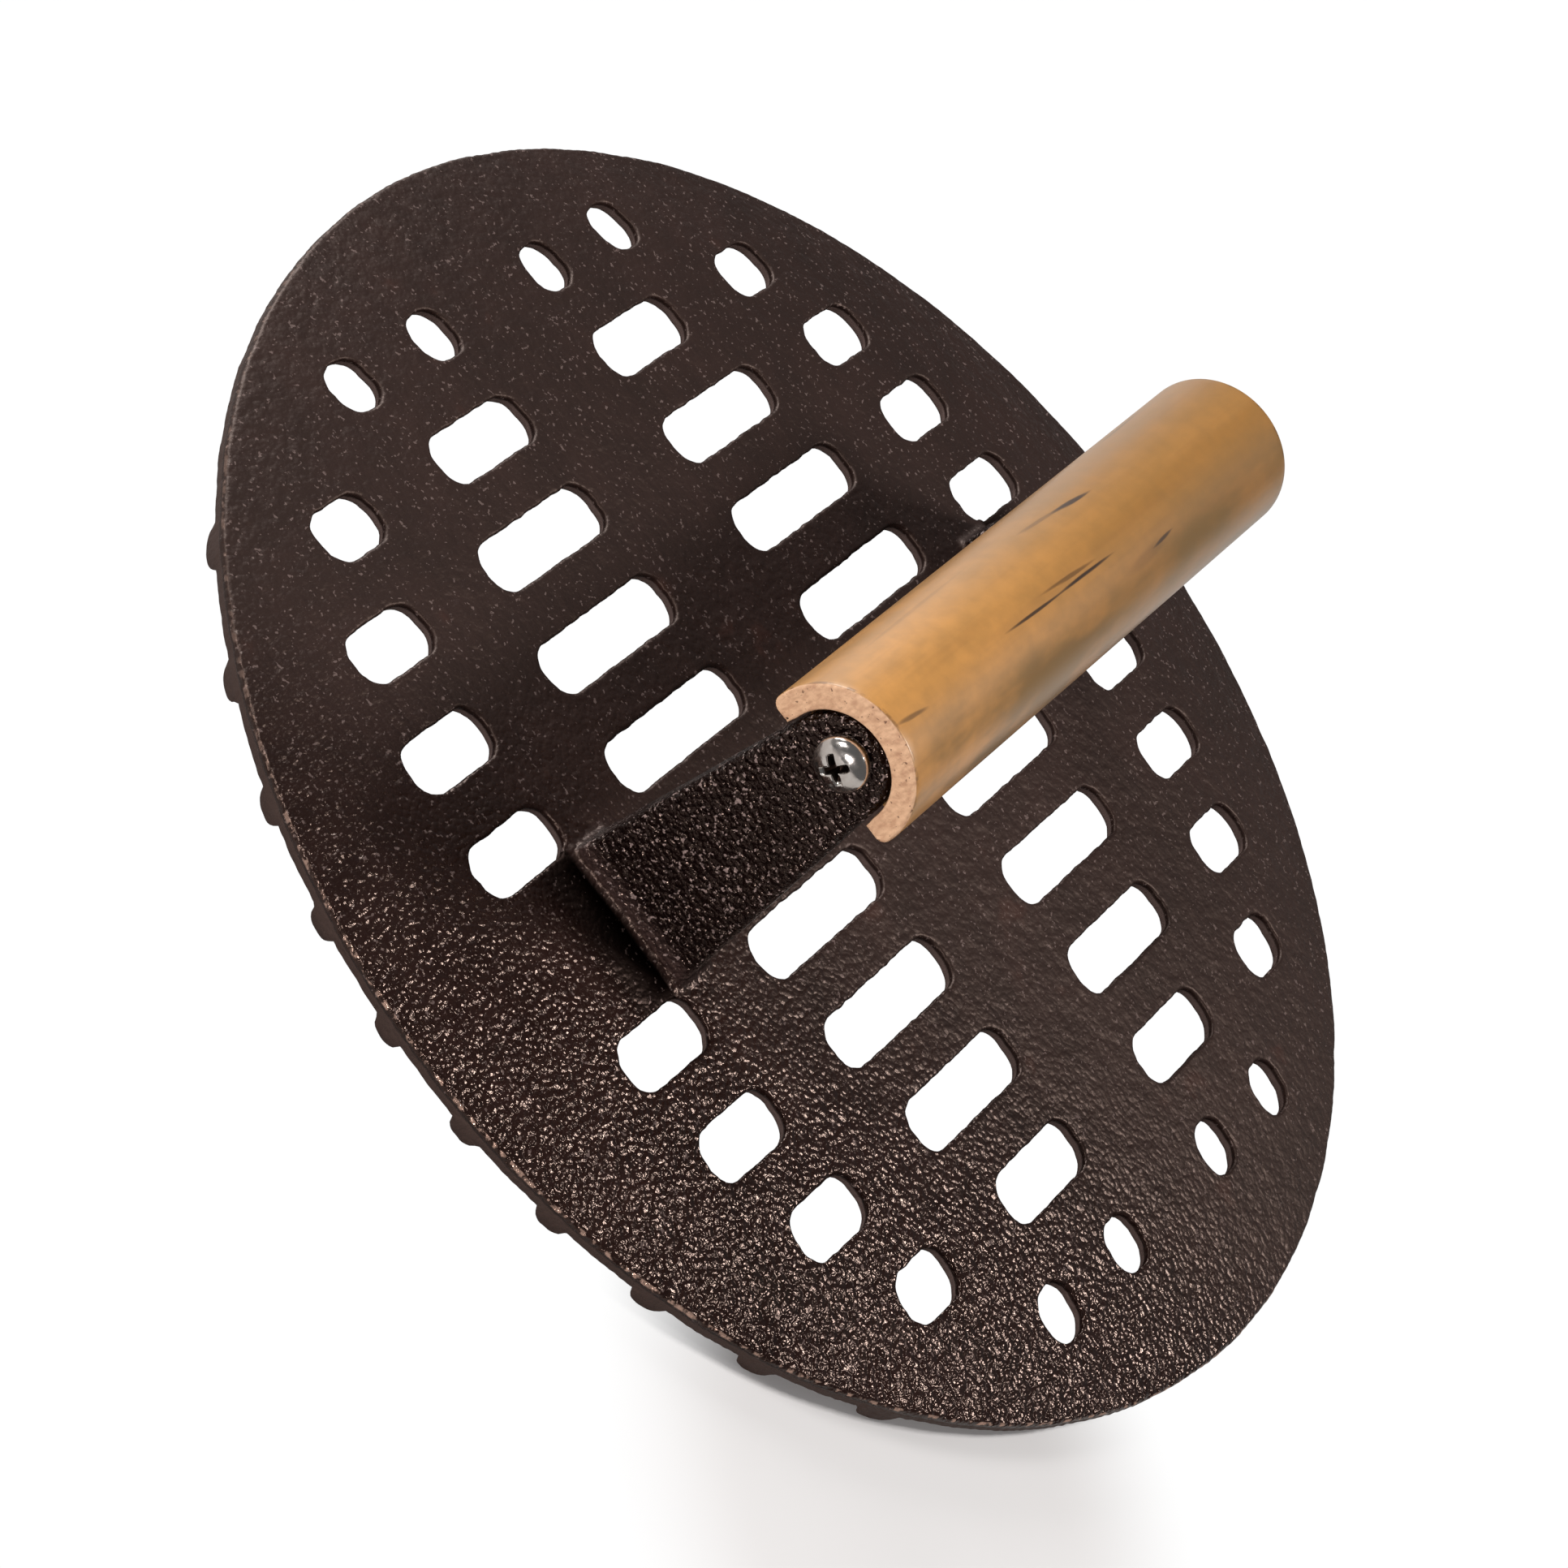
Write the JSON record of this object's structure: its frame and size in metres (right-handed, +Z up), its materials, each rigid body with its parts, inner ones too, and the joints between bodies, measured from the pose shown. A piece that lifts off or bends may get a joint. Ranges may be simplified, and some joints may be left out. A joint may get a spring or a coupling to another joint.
{
  "type": "grill press",
  "caption": "Round cast-iron grill press: domed slotted plate with ribs below, two cast uprights and a half-round wooden grip held by end screws.",
  "frame": {"origin": "centre of the plate's footprint, on the plane that the undersides of the ribs share", "axes": "+Z up, away from what is pressed; +X along the grip; +Y across the grip"},
  "size_m": [0.23, 0.23, 0.0706],
  "materials": {
    "cast_iron": "sand-cast, dark brown-black, satin",
    "varnished_wood": "clear satin varnish",
    "bright_nickel": "bright plated"
  },
  "bodies": {
    "root": {"press_casting": "cast_iron", "wooden_grip": "varnished_wood", "grip_screw_left": "bright_nickel", "grip_screw_right": "bright_nickel"}
  },
  "joints": []
}
